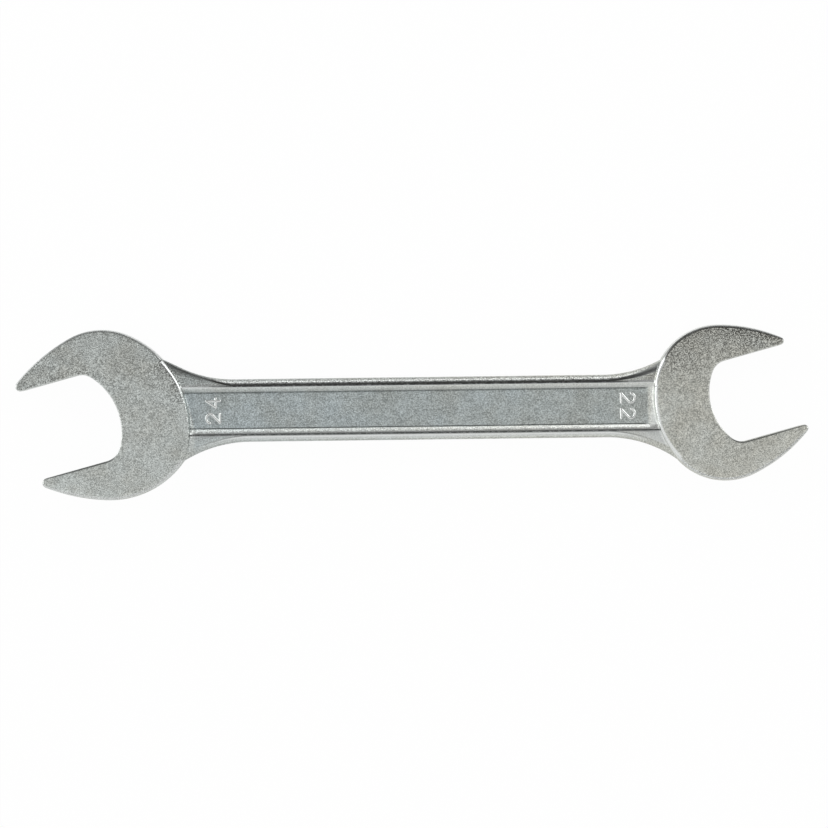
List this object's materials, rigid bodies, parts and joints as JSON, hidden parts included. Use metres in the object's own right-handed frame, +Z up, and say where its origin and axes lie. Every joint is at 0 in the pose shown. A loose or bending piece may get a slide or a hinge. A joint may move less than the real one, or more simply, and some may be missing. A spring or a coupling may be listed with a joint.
{
  "type": "open end wrench",
  "caption": "Flat forged wrench with an angled open jaw at each end, a larger and a smaller one, and a ribbed handle with a sunk panel on each face.",
  "frame": {"origin": "under the middle of the bounding box, on the surface that the heads lie on", "axes": "+X along the handle towards the 22 mm jaw, +Y across the handle towards the upper jaws in the picture, +Z up out of the upper face"},
  "size_m": [0.2104, 0.0452, 0.0088],
  "materials": {
    "plated_steel": "satin"
  },
  "bodies": {
    "root": {"wrench_forging": "plated_steel"}
  },
  "joints": []
}
